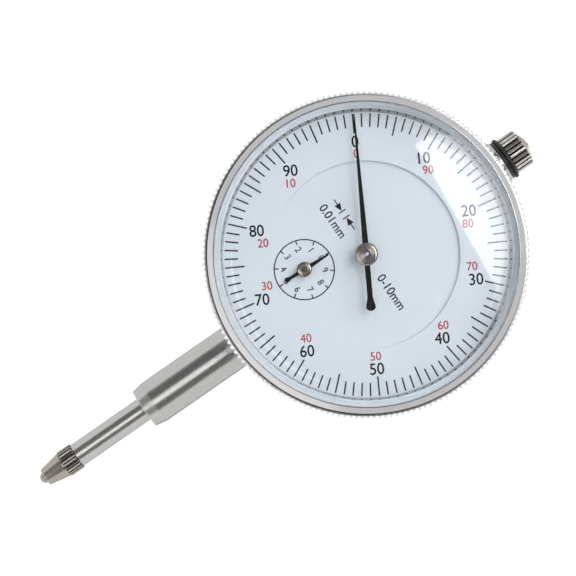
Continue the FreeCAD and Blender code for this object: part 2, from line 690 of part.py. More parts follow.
def make_bushes():
    bush("centre_bush", "0", "0", "centre_r + running_gap")
    bush("transfer_bush", "transfer_x", "transfer_y", "pivot_r + running_gap")
    bush("counter_bush", "counter_x", "counter_y", "counter_r + running_gap")


def spiral_arcs(offset):
    """Half-turn arcs of the hairspring, moved outwards by an offset."""
    step = value("hair_pitch") / 2
    arcs = []
    for turn in range(HAIRSPRING_HALF_TURNS):
        side = 1 if turn % 2 == 0 else -1
        centre = FreeCAD.Vector(0 if turn % 2 == 0 else -step, 0, 0)
        radius = value("hair_r") + turn * step + offset
        arcs.append(Part.Arc(centre + FreeCAD.Vector(-side * radius, 0, 0),
                             centre + FreeCAD.Vector(0, side * radius, 0),
                             centre + FreeCAD.Vector(side * radius, 0, 0)).toShape())
    return arcs


def make_hairspring():
    """Flat spiral round the counter arbor, and the stud that holds its outer end."""
    half = value("hair_thick") / 2
    inner = spiral_arcs(-half)
    outer = spiral_arcs(half)
    ends = [Part.makeLine(inner[0].Vertexes[0].Point, outer[0].Vertexes[0].Point),
            Part.makeLine(inner[-1].Vertexes[1].Point, outer[-1].Vertexes[1].Point)]
    face = Part.Face(Part.Wire(Part.sortEdges(inner + outer + ends)[0]))
    shape = face.extrude(FreeCAD.Vector(0, 0, value("hair_high")))
    shaped("hairspring", shape, front_frame("counter_x", "counter_y", "hair_low"))
    end = (inner[-1].Vertexes[1].Point + outer[-1].Vertexes[1].Point) * 0.5
    write_cell("stud_x", round(value("counter_x") + end.x, 4))
    write_cell("stud_y", round(value("counter_y") + end.y + value("stud_r"), 4))
    doc.recompute()
    turned("hairspring_stud", (
        ("0", "0"), ("stud_r", "0"), ("stud_r", "stud_high"), ("0", "stud_high")),
        front_frame("stud_x", "stud_y", "plate_back + plate_thick"))


def make_inner_dial():
    body = new_body("inner_dial", front_frame())
    revolve(body, outline(body, "inner_dial_outline", (
        ("inner_dial_hole_r", "wall_front"), ("inner_dial_r", "wall_front"),
        ("inner_dial_r", "inner_dial_top"), ("inner_dial_hole_r", "inner_dial_top"))))
    pocket(body, circles(body, "counter_circle", (
        ("counter_x", "counter_y", "small_hub_r + 0.2"),)), "counter_hole")


# ---- spindle ------------------------------------------------------------------------------

def make_spindle():
    body = new_body("spindle", line_frame())
    revolve(body, outline(body, "spindle_outline", (
        ("0", "point_tap_top"), ("point_tap_r", "point_tap_top"),
        ("point_tap_r", "spindle_end"), ("spindle_r", "spindle_end"),
        ("spindle_r", "spindle_top"), ("spindle_neck_r", "spindle_top"),
        ("spindle_neck_r", "neck_top"), ("0", "neck_top"))))
    pocket(body, outline(body, "flat_outline", (
        ("- spindle_r - 0.5", "flat_low"), ("rack_tip", "flat_low"), ("rack_tip", "flat_high"),
        ("- spindle_r - 0.5", "flat_high"))), "rack_flat")
    first = "transfer_y + rack_pitch + rack_pitch"
    gap = outline(body, "gap_outline", (
        ("rack_outer", first + " - gap_outer"), ("rack_root", first + " - gap_root"),
        ("rack_root", first + " + gap_root"), ("rack_outer", first + " + gap_outer")))
    space = pocket(body, gap, "rack_gap")
    rack = body.newObject("PartDesign::LinearPattern", "rack")
    rack.Originals = [space]
    rack.Direction = (gap, ["V_Axis"])
    rack.Reversed = True
    gaps = int(value("travel") / value("rack_pitch")) + 6
    rack.Length = value("rack_pitch") * (gaps - 1)
    rack.Occurrences = gaps
    body.Tip = rack
    doc.recompute()
    pocket(body, circles(body, "pin_circle", (("0", "pin_height", "pin_r"),), "YZ_Plane"),
           "pin_hole", "spindle_r", True)


def make_contact_point():
    body = new_body("contact_point", line_frame())
    revolve(body, outline(body, "point_outline", (
        ("0", "taper_low + ball_r", "- ball_r"), ("ball_r", "taper_low"),
        ("taper_low_r", "taper_low"), ("taper_top_r", "knurl_low"), ("knurl_r", "knurl_low"),
        ("knurl_r", "spindle_end"), ("point_tap_r", "spindle_end"),
        ("point_tap_r", "shank_top"), ("0", "shank_top"))))
    groove = outline(body, "groove_outline", (
        ("knurl_r - knurl_deep", "0"), ("knurl_r + knurl_deep", "0.45"),
        ("knurl_r + knurl_deep", "- 0.45")), "XY_Plane")
    repeat_round(body, pocket(body, groove, "groove"), groove, "grooves", POINT_GROOVES)
    ball = primitive("Sphere", "contact_ball", line_frame("taper_low"), {"Radius": "ball_r"})
    nodes["contact_ball"] = ball


def make_cap():
    turned("cap_washer", (
        ("spindle_neck_r", "spindle_top"), ("washer_low_r", "spindle_top"),
        ("washer_low_r", "washer_step"), ("washer_r", "washer_step + 0.1"),
        ("washer_r", "washer_top - washer_edge"), ("washer_r - washer_edge", "washer_top"),
        ("spindle_neck_r", "washer_top")), line_frame())
    body = new_body("lifting_cap", line_frame())
    revolve(body, outline(body, "cap_outline", (
        ("spindle_neck_r", "washer_top"), ("cap_r - 0.15", "washer_top"),
        ("cap_r", "washer_top + 0.15"), ("cap_r", "cap_edge - 0.15"),
        ("cap_r - 0.15", "cap_edge"), ("0", "cap_apex"), ("0", "neck_top"),
        ("spindle_neck_r", "neck_top"))))
    flute = circles(body, "flute_circle", (("flute_ring", "0", "flute_r"),))
    repeat_round(body, pocket(body, flute, "flute"), flute, "flutes", CAP_FLUTES)


def make_guide_pin():
    turned("guide_pin", (
        ("0", "pin_start"), ("pin_r", "pin_start"), ("pin_r", "pin_end"), ("0", "pin_end")),
        side_frame("pin_height"))
    turned("guide_sleeve", (
        ("pin_r", "sleeve_start"), ("sleeve_r", "sleeve_start"), ("sleeve_r", "sleeve_end"),
        ("pin_r", "sleeve_end")), side_frame("pin_height"))


# ---- arbors -------------------------------------------------------------------------------

def wheel_shape(first_tooth, bore):
    """Thin toothed wheel with round windows."""
    low = value("wheel_back")
    thick = value("wheel_thick")
    wheel = gear_solid(gear_outline(TRANSFER_TEETH, -0.4, first_tooth, 1), low, low + thick)
    tools = [Part.makeCylinder(bore, thick, FreeCAD.Vector(0, 0, low))]
    for number in range(5):
        angle = math.radians(72 * number)
        ring = value("window_ring")
        place = FreeCAD.Vector(ring * math.cos(angle), ring * math.sin(angle), low)
        tools.append(Part.makeCylinder(value("window_r"), thick, place))
    return wheel.cut(tools)


def make_arbors():
    """The three arbors, with every tooth in mesh at rest."""
    to_centre = math.atan2(-value("transfer_y"), -value("transfer_x"))
    to_counter = math.atan2(value("counter_y"), value("counter_x"))
    centre_tooth = meshing_angle(to_centre, TRANSFER_TEETH, CENTRE_TEETH, to_centre)
    counter_tooth = meshing_angle(centre_tooth, CENTRE_TEETH, TRANSFER_TEETH, to_counter)
    shake = value("end_shake")
    plate_front = value("plate_back + plate_thick")
    pivot = value("pivot_r")

    half = value("rack_pinion_half")
    teeth = gear_solid(gear_outline(RACK_PINION_TEETH, 0, 0, 3), -half, half)
    inside = value("bridge_back + bridge_thick") + shake
    bars = stack(((pivot, value("bridge_back") + shake, value("pivot_end")),
                  (value("transfer_r"), inside, value("wall_back") - 2 * shake)))
    shaped("transfer_pinion", teeth.fuse(bars).removeSplitter(),
           front_frame("transfer_x", "transfer_y"))
    shaped("transfer_wheel", wheel_shape(to_centre, value("transfer_r")),
           front_frame("transfer_x", "transfer_y"))
    turned("transfer_collet", (
        ("transfer_r", "collet_low"), ("collet_r", "collet_low"), ("collet_r", "wheel_back"),
        ("transfer_r", "wheel_back")), front_frame("transfer_x", "transfer_y"))

    teeth = gear_solid(gear_outline(CENTRE_TEETH, 0.4, centre_tooth, 4),
                       value("centre_pinion_low"), value("centre_pinion_high"))
    tip = Part.makeCone(value("centre_r"), 0.1, value("centre_r") / 2,
                        FreeCAD.Vector(0, 0, value("centre_end") - value("centre_r") / 2))
    bars = stack(((pivot, value("plate_back") + shake, plate_front + shake),
                  (value("centre_r"), plate_front + shake,
                   value("centre_end") - value("centre_r") / 2)))
    shaped("centre_pinion", teeth.fuse(bars + [tip]).removeSplitter(), front_frame())

    bars = stack(((value("counter_r"), plate_front + shake, value("small_end")),))
    shaped("counter_arbor", Part.makeCylinder(
        pivot, value("plate_thick"), FreeCAD.Vector(0, 0, value("plate_back") + shake)).fuse(
        bars).removeSplitter(), front_frame("counter_x", "counter_y"))
    shaped("counter_wheel", wheel_shape(counter_tooth, value("counter_r")),
           front_frame("counter_x", "counter_y"))
    turned("counter_collet", (
        ("counter_r", "wheel_back + wheel_thick"), ("bush_flange_r", "wheel_back + wheel_thick"),
        ("bush_flange_r", "counter_collet_high"), ("counter_r", "counter_collet_high")),
        front_frame("counter_x", "counter_y"))
    turned("hairspring_collet", (
        ("counter_r", "hair_low - 0.1"), ("hair_collet_r", "hair_low - 0.1"),
        ("hair_collet_r", "wheel_back"), ("counter_r", "wheel_back")),
        front_frame("counter_x", "counter_y"))


# ---- hands --------------------------------------------------------------------------------

def make_hand(label, frame, thick, disc, hole, points):
    """Flat hand drawn pointing up: a tapered blade and a tail, with a disc at its boss."""
    body = new_body(label, frame)
    mirrored = [("- " + x if x != "0" else x, y) for x, y in reversed(points) if x != "0"]
    pad(body, outline(body, label + "_outline", tuple(points) + tuple(mirrored), "XY_Plane"),
        "blade", thick)
    pad(body, circles(body, label + "_disc", (("0", "0", disc),)), "disc", thick)
    pocket(body, circles(body, label + "_circle", (("0", "0", hole),)), "hole")


def make_hub(label, x, y, bore, tube_r, low, seat, cap_r, top):
    """Turned hub that holds a hand on its arbor."""
    turned(label, (
        (bore, low), (tube_r, low), (tube_r, seat), (cap_r, seat), (cap_r, top + " - 0.15"),
        (cap_r + " - 0.15", top), (bore, top)), front_frame(x, y))


def make_hands():
    make_hand("main_hand", front_frame(z="hand_back", turn=value("hand_angle")), "hand_thick",
              "hand_disc_r", "hand_hub_r", (
                  ("hand_tip_half", "hand_tip"), ("hand_root_half", "hand_waist"),
                  ("tail_half", "- hand_waist"), ("tail_half", "tail_neck"),
                  ("tail_wide_half", "tail_wide"), ("0", "tail_end")))
    make_hub("main_hand_hub", "0", "0", "centre_r", "hand_hub_r", "hand_hub_low",
             "hand_back + hand_thick", "hand_cap_r", "hand_cap_top")
    make_hand("small_hand",
              front_frame("counter_x", "counter_y", "small_back", value("small_angle")),
              "small_thick", "small_cap_r - 0.1", "small_hub_r", (
                  ("small_tip_half", "small_tip"), ("small_root_half", "small_hub_r"),
                  ("small_tail_half", "- small_hub_r"), ("small_tail_half", "small_tail_neck"),
                  ("small_tail_wide_half", "small_tail_wide"), ("0", "small_tail_end")))
    make_hub("small_hand_hub", "counter_x", "counter_y", "counter_r", "small_hub_r",
             "small_hub_low", "small_back + small_thick", "small_cap_r", "small_cap_top")


# ---- bezel --------------------------------------------------------------------------------

def make_bezel():
    body = new_body("bezel_ring", front_frame())
    bore = "neck_r + running_gap"
    revolve(body, outline(body, "bezel_outline", (
        (bore, "bezel_low"), ("bezel_r - bezel_edge", "bezel_low"),
        ("bezel_r", "bezel_low + bezel_edge"), ("bezel_r", "bezel_high - bezel_edge"),
        ("bezel_r - bezel_edge", "bezel_high"), ("rim_r", "bezel_high"), ("rim_r", "rim_edge"),
        ("crystal_seat_r + 0.1", "rim_top"), ("crystal_seat_r", "rim_top"),
        ("crystal_seat_r", "ledge_high"), ("ledge_r", "ledge_high"), ("ledge_r", "ledge_low"),
        (bore, "ledge_low"), (bore, "wire_groove_high"), ("wire_groove_r", "wire_groove_high"),
        ("wire_groove_r", "wire_groove_low"), (bore, "wire_groove_low"))))
    groove = outline(body, "knurl_outline", (
        ("bezel_r - knurl_groove", "0"), ("bezel_r + 0.12", "0.52"),
        ("bezel_r + 0.12", "- 0.52")), "XY_Plane")
    repeat_round(body, pocket(body, groove, "groove"), groove, "knurl", BEZEL_GROOVES)
    turned("dial_ring", (
        ("dial_ring_bore_r", "ledge_high"), ("dial_ring_r", "ledge_high"),
        ("dial_ring_r", "dial_ring_top"), ("dial_ring_bore_r", "dial_ring_top")), front_frame())
    turned("crystal", (
        ("crystal_wall_r", "crystal_low"), ("crystal_r", "crystal_low"),
        ("crystal_r", "crystal_side", "crystal_round"),
        ("crystal_shoulder_r", "crystal_shoulder", "dome_r"), ("crystal_flat_r", "crystal_top"),
        ("0", "crystal_top"), ("0", "crystal_inside_top"),
        ("crystal_flat_r", "crystal_inside_top", "- dome_inside_r"),
        ("crystal_inside_r", "crystal_inside_shoulder", "- crystal_inside_round"),
        ("crystal_wall_r", "crystal_inside_side")), front_frame())


# ---- build, check and write ---------------------------------------------------------------

def check_document():
    """Stop if any object failed, or any piece is empty or not sound."""
    for item in doc.Objects:
        if "Invalid" in item.State or "Error" in item.State:
            raise ValueError("%s failed: %s" % (item.Label, item.State))
    for label, item in nodes.items():
        if item.Shape.isNull() or not item.Shape.isValid():
            raise ValueError("%s has no sound shape" % label)


fill_sheet()
make_case()
make_back_cover()
make_cover_screws()
make_stem()
make_movement_plate()
make_pillars_and_screws()
make_rear_bridge()
make_guide()
make_spring_post()
make_return_spring()
make_bezel_spring()
make_bushes()
make_hairspring()
make_inner_dial()
make_spindle()
make_contact_point()
make_cap()
make_guide_pin()
make_arbors()
make_hands()
make_bezel()
doc.recompute()
check_document()

os.makedirs("parts", exist_ok=True)
for label, item in nodes.items():
    item.Shape.exportStep("parts/" + label + ".step")
    print("%-20s solids %d  volume %.3f" % (label, len(item.Shape.Solids), item.Shape.Volume))
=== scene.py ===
import math

import bmesh
import bpy
from mathutils import Matrix, Vector


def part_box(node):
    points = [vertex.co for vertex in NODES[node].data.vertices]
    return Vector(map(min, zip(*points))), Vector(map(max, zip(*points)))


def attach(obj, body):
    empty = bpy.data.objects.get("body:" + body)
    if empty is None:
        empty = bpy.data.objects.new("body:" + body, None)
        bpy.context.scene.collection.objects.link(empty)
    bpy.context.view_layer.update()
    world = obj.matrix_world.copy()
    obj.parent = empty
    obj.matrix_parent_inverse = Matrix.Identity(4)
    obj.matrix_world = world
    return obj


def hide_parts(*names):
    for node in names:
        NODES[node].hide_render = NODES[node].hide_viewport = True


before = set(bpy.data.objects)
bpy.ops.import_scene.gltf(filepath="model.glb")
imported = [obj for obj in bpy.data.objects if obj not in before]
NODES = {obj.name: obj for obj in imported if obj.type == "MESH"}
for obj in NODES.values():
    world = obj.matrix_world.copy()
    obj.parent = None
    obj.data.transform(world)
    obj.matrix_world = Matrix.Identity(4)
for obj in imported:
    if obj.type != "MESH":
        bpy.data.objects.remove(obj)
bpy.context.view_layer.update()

MM = 0.001

# Places read from the frame.
DIAL_LOW, DIAL_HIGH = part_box("crystal")
DIAL_Z = (DIAL_LOW.z + DIAL_HIGH.z) / 2 / MM
RING_FACE = -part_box("dial_ring")[0].y / MM
INNER_FACE = -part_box("inner_dial")[0].y / MM
SMALL_LOW, SMALL_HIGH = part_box("counter_arbor")
SMALL_X = (SMALL_LOW.x + SMALL_HIGH.x) / 2 / MM
SMALL_Z = (SMALL_LOW.z + SMALL_HIGH.z) / 2 / MM - DIAL_Z
TIP_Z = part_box("contact_ball")[0].z / MM

# Angles, degrees anticlockwise from straight up, seen from the front.
ZERO_TURN = 60.76
MAIN_HAND_TURN = 60.3
SMALL_HAND_TURN = -2.9


# ---- places -------------------------------------------------------------------------------

def front(x, y, z):
    """Point drawn as seen from the front, in mm from the dial's centre, z towards the viewer."""
    return Vector((x * MM, -z * MM, (DIAL_Z + y) * MM))


def line(x, y, z):
    """Point on the spindle's line, in mm, z up from the dial's centre."""
    return Vector((x * MM, y * MM, (DIAL_Z + z) * MM))


def turned_about(angle):
    """Front place turned about the dial's centre by some degrees anticlockwise."""
    cos = math.cos(math.radians(angle))
    sin = math.sin(math.radians(angle))
    return lambda x, y, z: front(x * cos - y * sin, x * sin + y * cos, z)


def at_counter(angle=0.0):
    """Front place about the small hand's arbor."""
    cos = math.cos(math.radians(angle))
    sin = math.sin(math.radians(angle))
    return lambda x, y, z: front(SMALL_X + x * cos - y * sin, SMALL_Z + x * sin + y * cos, z)


# ---- meshes -------------------------------------------------------------------------------

SHARP_ANGLE = 35  # degrees between faces from which an edge isn't shaded smooth
SUPPORT = 0.06  # mm from a rounded corner to the ring that keeps the face beyond it flat
LEAST_TURN = 8  # degrees below which a profile's corner is left alone
# Steps round a turned piece, by its size.
LARGE = 256
MIDDLE = 128
SMALL = 96


def new_object(name, bm, material, smooth=True):
    """Finish a bmesh as an object with one material."""
    bmesh.ops.recalc_face_normals(bm, faces=bm.faces)
    mesh = bpy.data.meshes.new(name)
    bm.to_mesh(mesh)
    bm.free()
    if smooth:
        mesh.shade_smooth()
        mesh.set_sharp_from_angle(angle=math.radians(SHARP_ANGLE))
    mesh.materials.append(material)
    item = bpy.data.objects.new(name, mesh)
    bpy.context.scene.collection.objects.link(item)
    return item


def soften(profile, radius, steps=3):
    """Round the corners of an (r, z) profile, with a support ring each side of every corner."""
    closed = profile[0] == profile[-1]
    points = [Vector(point) for point in (profile[:-1] if closed else profile)]
    rounded = []
    for index, point in enumerate(points):
        if not closed and index in (0, len(points) - 1):
            rounded.append(tuple(point))
            continue
        before = points[index - 1] - point
        after = points[(index + 1) % len(points)] - point
        turn = math.pi - before.angle(after)
        if turn < math.radians(LEAST_TURN) or point.x == 0:
            rounded.append(tuple(point))
            continue
        reach = min(radius * math.tan(turn / 2), before.length * 0.4, after.length * 0.4)
        ends = [(side.normalized(), side.length) for side in (before, after)]
        for step in range(-1, steps + 2):
            if 0 <= step <= steps:
                share = step / steps
                first, last = (point + way * reach for way, _ in ends)
                bend = first.lerp(point, share).lerp(point.lerp(last, share), share)
                rounded.append(tuple(bend))
            else:
                way, long = ends[step > steps]
                rounded.append(tuple(point + way * min(reach + SUPPORT, long * 0.45)))
    if closed:
        rounded.append(rounded[0])
    return rounded


def lathe(name, profile, place, material, count, cut=None):
    """Turn an (r, z) profile in mm; cut(angle, r, z) may take something off the radius."""
    bm = bmesh.new()
    closed = profile[0] == profile[-1]
    rings = []
    for r, z in (profile[:-1] if closed else profile):
        if r == 0:
            rings.append([bm.verts.new(place(0, 0, z))])
            continue
        ring = []
        for step in range(count):
            angle = 2 * math.pi * step / count
            radius = r - cut(angle, r, z) if cut else r
            ring.append(bm.verts.new(place(radius * math.cos(angle), radius * math.sin(angle), z)))
        rings.append(ring)
    pairs = list(zip(rings, rings[1:]))
    if closed:
        pairs.append((rings[-1], rings[0]))
    for low, high in pairs:
        for step in range(count):
            corners = [low[step % len(low)], low[(step + 1) % len(low)],
                       high[(step + 1) % len(high)], high[step % len(high)]]
            corners = [c for i, c in enumerate(corners) if c not in corners[:i]]
            if len(corners) > 2:
                bm.faces.new(corners)
    return new_object(name, bm, material)


def vee(count, depth, crest, low_r):
    """Straight knurl outside a radius: vee grooves, with a share of each pitch left as crest."""
    run_out = 0.12  # mm of radius over which the grooves reach their depth

    def cut(angle, r, z):
        if r < low_r:
            return 0.0
        share = (angle * count / (2 * math.pi)) % 1.0
        off = min(share, 1 - share) / ((1 - crest) / 2)
        return max(0.0, depth * (1 - off)) * min(1.0, (r - low_r) / run_out)
    return cut


def ride_as(item, body, *nodes):
    """The piece stands for these nodes and moves with a body."""
    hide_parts(*nodes)
    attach(item, body)


# ---- materials ----------------------------------------------------------------------------

BUMP_REACH = 0.1 * MM
LEAST_ROUGH = 0.02
COATED_SPREAD = 0.06  # how far a coating's roughness varies either way
METAL_TINT = (0.96, 1.03)  # darkest and lightest share of a metal's colour
METAL_BLOTCH = 300.0  # scale of a metal's colour change
COATED_BLOTCH = 120.0


def new_material(name):
    material = bpy.data.materials.new(name)
    material.use_nodes = True
    tree = material.node_tree
    return material, tree, tree.nodes["Principled BSDF"]


def node(tree, kind, **values):
    """Add a node and set its sockets by name."""
    item = tree.nodes.new("ShaderNode" + kind)
    for key, value in values.items():
        if key in item.inputs:
            item.inputs[key].default_value = value
        else:
            setattr(item, key, value)
    return item


def rings_vector(tree, kind):
    """Coordinates about the dial's centre that vary only across machining marks.

    "dial" varies with radius and depth, "line" along the spindle's line, and "plain" every way.
    """
    link = tree.links.new
    place = node(tree, "TexCoord")
    moved = node(tree, "VectorMath", operation="SUBTRACT")
    moved.inputs[1].default_value = (0, 0, DIAL_Z * MM)
    link(place.outputs["Object"], moved.inputs[0])
    if kind == "plain":
        return moved.outputs[0]
    split = node(tree, "SeparateXYZ")
    link(moved.outputs[0], split.inputs[0])
    join = node(tree, "CombineXYZ")
    if kind == "dial":
        flat = node(tree, "VectorMath", operation="MULTIPLY")
        flat.inputs[1].default_value = (1, 0, 1)
        link(moved.outputs[0], flat.inputs[0])
        away = node(tree, "VectorMath", operation="LENGTH")
        link(flat.outputs[0], away.inputs[0])
        link(away.outputs["Value"], join.inputs[0])
        link(split.outputs[1], join.inputs[1])
    else:
        link(split.outputs[2], join.inputs[0])
    return join.outputs[0]


def grey_ramp(tree, value, stops, unit=1.0):
    """Grey that follows a value through (place, brightness) stops."""
    first, last = stops[0][0], stops[-1][0]
    share = node(tree, "MapRange")
    share.inputs["From Min"].default_value = first * unit
    share.inputs["From Max"].default_value = last * unit
    tree.links.new(value, share.inputs["Value"])
    tone = node(tree, "ValToRGB")
    marks = tone.color_ramp.elements
    while len(marks) < len(stops):
        marks.new(0.5)
    for mark, (place, light) in zip(marks, stops):
        mark.position = (place - first) / (last - first)
        mark.color = (light, light, light, 1)
    tree.links.new(share.outputs[0], tone.inputs["Fac"])
    return tone.outputs["Color"]


def banded(tree, colour, axis, shade_bands):
    """Painted shade: darken a colour in bands of radius (mm) about the dial's or the spindle's
    axis.
    """
    link = tree.links.new
    keep = (1, 0, 1) if axis == "dial" else (1, 1, 0)
    flat = node(tree, "VectorMath", operation="MULTIPLY")
    flat.inputs[1].default_value = keep
    link(rings_vector(tree, "plain"), flat.inputs[0])
    away = node(tree, "VectorMath", operation="LENGTH")
    link(flat.outputs[0], away.inputs[0])
    tone = grey_ramp(tree, away.outputs["Value"], shade_bands, MM)
    mixed = node(tree, "VectorMath", operation="MULTIPLY")
    link(colour, mixed.inputs[0])
    link(tone, mixed.inputs[1])
    return mixed.outputs[0]


def tinted(tree, value, colour, dark, light):
    """Colour that goes from a darker to a lighter share of itself with a value."""
    tint = node(tree, "ValToRGB")
    for mark, position, share in zip(tint.color_ramp.elements, (0.3, 0.7), (dark, light)):
        mark.position = position
        mark.color = [min(part * share, 1) for part in colour] + [1]
    tree.links.new(value, tint.inputs["Fac"])
    return tint.outputs["Color"]


def shine_and_bump(tree, shader, value, low, high, height, depth):
    """Roughness that follows one value, and fine relief that follows another."""
    shine = node(tree, "MapRange")
    shine.inputs["To Min"].default_value = max(low, LEAST_ROUGH)
    shine.inputs["To Max"].default_value = high
    tree.links.new(value, shine.inputs["Value"])
    tree.links.new(shine.outputs[0], shader.inputs["Roughness"])
    bump = node(tree, "Bump", Strength=depth, Distance=BUMP_REACH)
    tree.links.new(height, bump.inputs["Height"])
    tree.links.new(bump.outputs[0], shader.inputs["Normal"])


def metal(name, colour, rough, kind, marks, depth, spread, shade_bands=None):
    """Machined metal: fine marks in bump and roughness, faint large-scale colour change."""
    material, tree, shader = new_material(name)
    link = tree.links.new
    vector = rings_vector(tree, kind)
    plain = rings_vector(tree, "plain")
    fine = node(tree, "TexNoise", Scale=marks, Detail=3.0, Roughness=0.6)
    wide = node(tree, "TexNoise", Scale=METAL_BLOTCH, Detail=4.0, Roughness=0.55)
    link(vector, fine.inputs["Vector"])
    link(plain, wide.inputs["Vector"])
    mix = node(tree, "Math", operation="ADD")
    half = node(tree, "Math", operation="MULTIPLY")
    half.inputs[1].default_value = 0.5
    link(fine.outputs["Fac"], mix.inputs[0])
    link(wide.outputs["Fac"], mix.inputs[1])
    link(mix.outputs[0], half.inputs[0])
    shine_and_bump(tree, shader, half.outputs[0], rough - spread, rough + spread,
                   fine.outputs["Fac"], depth)
    shade = tinted(tree, wide.outputs["Fac"], colour, *METAL_TINT)
    # Bands of painted shade (and, on the bezel, painted reflection brightness) multiplied into the
    # colour by radius.
    if shade_bands:
        shade = banded(tree, shade, kind, shade_bands)
    link(shade, shader.inputs["Base Color"])
    shader.inputs["Metallic"].default_value = 1.0
    return material


def ring_marks(material):
    """Grinding marks round the spindle's line, which spread a highlight along it."""
    tree = material.node_tree
    shader = tree.nodes["Principled BSDF"]
    tangent = node(tree, "Tangent", direction_type="RADIAL", axis="Z")
    tree.links.new(tangent.outputs[0], shader.inputs["Tangent"])
    shader.inputs["Anisotropic"].default_value = 0.9
    shader.inputs["Anisotropic Rotation"].default_value = 0.25


def coated(name, colour, rough, grain, depth, change):
    """Paint, ink, plastic or rubber with a fine grain."""
    material, tree, shader = new_material(name)
    link = tree.links.new
    plain = rings_vector(tree, "plain")
    fine = node(tree, "TexNoise", Scale=grain, Detail=3.0)
    wide = node(tree, "TexNoise", Scale=COATED_BLOTCH, Detail=3.0)
    link(plain, fine.inputs["Vector"])
    link(plain, wide.inputs["Vector"])
    shade = tinted(tree, wide.outputs["Fac"], colour, 1 - change, 1 + change)
    link(shade, shader.inputs["Base Color"])
    shine_and_bump(tree, shader, fine.outputs["Fac"], rough - COATED_SPREAD,
                   rough + COATED_SPREAD, fine.outputs["Fac"], depth)
    return material


def clear_acrylic():
    """Clear moulded acrylic that lets lamps through, with faint wear in its gloss."""
    material, tree, shader = new_material("clear_acrylic")
    link = tree.links.new
    wear = node(tree, "TexNoise", Scale=900.0, Detail=5.0)
    link(rings_vector(tree, "plain"), wear.inputs["Vector"])
    shine = node(tree, "MapRange")
    shine.inputs["To Min"].default_value = 0.0
    shine.inputs["To Max"].default_value = 0.05
    link(wear.outputs["Fac"], shine.inputs["Value"])
    link(shine.outputs[0], shader.inputs["Roughness"])
    shader.inputs["Base Color"].default_value = (0.97, 0.985, 1.0, 1)
    shader.inputs["Transmission Weight"].default_value = 1.0
    shader.inputs["IOR"].default_value = 1.49
    clear = node(tree, "BsdfTransparent")
    rays = node(tree, "LightPath")
    mix = node(tree, "MixShader")
    link(rays.outputs["Is Shadow Ray"], mix.inputs[0])
    link(shader.outputs[0], mix.inputs[1])
    link(clear.outputs[0], mix.inputs[2])
    link(mix.outputs[0], tree.nodes["Material Output"].inputs["Surface"])
    return material


# Metals: name, colour, roughness, how the marks run, marks' scale, relief, spread of roughness,
# and for some, bands by radius of painted shade and painted reflection.
# Painted shade in the groove at the rim's foot (about 27.4 to 27.6 mm), and the rim's slope darker
# than the inner ledge and the knurled edge as painted reflection of the white surroundings.
CHROME = metal("satin_chrome", (0.93, 0.935, 0.95), 0.20, "dial", 14000, 0.02, 0.07, shade_bands=(
    (26.1, 1.0), (26.24, 0.68), (27.36, 0.68), (27.42, 0.10), (27.58, 0.12), (27.68, 1.0),
    (28.4, 1.0)))
CASE = metal("satin_aluminium", (0.70, 0.71, 0.73), 0.36, "plain", 5200, 0.08, 0.04)
STEM = metal("polished_stem", (0.64, 0.635, 0.62), 0.275, "line", 16000, 0.01, 0.03)
SHAFT = metal("ground_spindle", (0.66, 0.65, 0.635), 0.275, "line", 16000, 0.01, 0.03)
for ground in (STEM, SHAFT):
    ring_marks(ground)
# Painted shade in the knurled tip's and the fluted knob's grooves, darkest at their roots.
TIP_KNURL = metal("knurled_tip", (0.66, 0.62, 0.57), 0.20, "line", 4000, 0.02, 0.06, shade_bands=(
    (2.26, 0.08), (2.35, 0.12), (2.44, 1.0), (2.5, 1.0)))
CAP_KNURL = metal("fluted_knob", (0.78, 0.74, 0.69), 0.20, "line", 4000, 0.02, 0.06, shade_bands=(
    (3.1, 0.08), (3.28, 0.12), (3.43, 1.0), (3.5, 1.0)))
NICKEL = metal("nickel_plate", (0.52, 0.48, 0.43), 0.20, "line", 4000, 0.008, 0.05)
HUB = metal("turned_nickel", (0.48, 0.44, 0.395), 0.09, "dial", 9000, 0.02, 0.03)
BALL = metal("hard_ball", (0.36, 0.34, 0.32), 0.14, "plain", 7000, 0.02, 0.05)
SCREW = metal("zinc_screw", (0.62, 0.62, 0.63), 0.30, "plain", 6000, 0.06, 0.08)
BRASS = metal("brushed_brass", (0.78, 0.60, 0.30), 0.30, "plain", 5000, 0.06, 0.1)
STEEL = metal("bright_steel", (0.56, 0.56, 0.57), 0.14, "plain", 5000, 0.03, 0.05)
SPRING = metal("spring_steel", (0.42, 0.43, 0.46), 0.30, "plain", 5000, 0.05, 0.08)
# Coatings: name, colour, roughness, grain's scale, relief, change of colour.
FACE = coated("dial_enamel", (0.79, 0.85, 0.905), 0.42, 3500, 0.03, 0.015)
INK = coated("black_ink", (0.012, 0.012, 0.014), 0.45, 4000, 0.05, 0.2)
RED_INK = coated("red_ink", (0.50, 0.035, 0.05), 0.45, 4000, 0.05, 0.1)
BLACK = coated("black_hand", (0.006, 0.006, 0.007), 0.5, 5000, 0.04, 0.2)
RUBBER = coated("black_rubber", (0.018, 0.018, 0.019), 0.42, 2200, 0.15, 0.2)
CLEAR = clear_acrylic()
for dull in (BLACK, INK):
    dull.node_tree.nodes["Principled BSDF"].inputs["Specular IOR Level"].default_value = 0.12


# ---- case ---------------------------------------------------------------------------------
# Profiles are (radius, height) in mm. Heights are towards the viewer for the dial's pieces and
# up from the dial's centre for those on the spindle's line.

